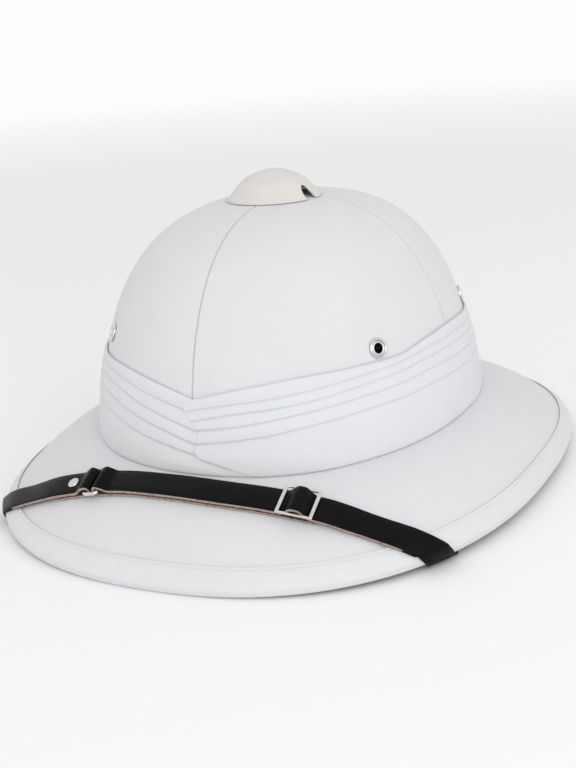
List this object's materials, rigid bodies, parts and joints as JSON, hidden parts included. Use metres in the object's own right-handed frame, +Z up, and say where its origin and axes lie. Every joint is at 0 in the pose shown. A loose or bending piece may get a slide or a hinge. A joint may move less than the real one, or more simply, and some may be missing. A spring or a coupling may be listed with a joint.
{
  "type": "pith helmet with pleated pugaree and leather chin strap",
  "caption": "White cloth-covered pith helmet: domed crown, sloping oval brim, pleated band, vent cap, metal eyelets and a black leather chin strap over the front of the brim.",
  "frame": {"origin": "on the surface that the helmet stands on, under the centre of its bounding box", "axes": "-Y is the helmet's front, +X the wearer's left, +Z up along the crown's height"},
  "size_m": [0.2868, 0.342, 0.1654],
  "materials": {
    "crown_cloth": "matt bluish-white cotton drill over a moulded shell",
    "brim_cloth": "matt bluish-white cotton drill",
    "binding_cloth": "matt white cotton turned round the edge and stitched",
    "pugaree_cloth": "soft white cotton, wound in pleats",
    "cap_leather": "smooth warm off-white leathercloth",
    "collar_metal": "plain metal, hidden under the cap",
    "eyelet_metal": "bright nickel",
    "strap_leather": "smooth black leather with raw pinkish-beige cut edges",
    "strap_metal": "bright nickel"
  },
  "bodies": {
    "root": {"crown": "crown_cloth", "brim": "brim_cloth", "edge_binding": "binding_cloth", "pugaree": "pugaree_cloth", "vent_cap": "cap_leather", "vent_collar": "collar_metal", "eyelet_front_left": "eyelet_metal", "eyelet_front_right": "eyelet_metal", "eyelet_back_left": "eyelet_metal", "eyelet_back_right": "eyelet_metal", "chin_strap_long": "strap_leather", "chin_strap_short": "strap_leather", "strap_ring": "strap_metal", "slide_buckle": "strap_metal", "strap_rivet": "strap_metal", "strap_stud_left": "strap_metal", "strap_stud_right": "strap_metal"}
  },
  "joints": []
}
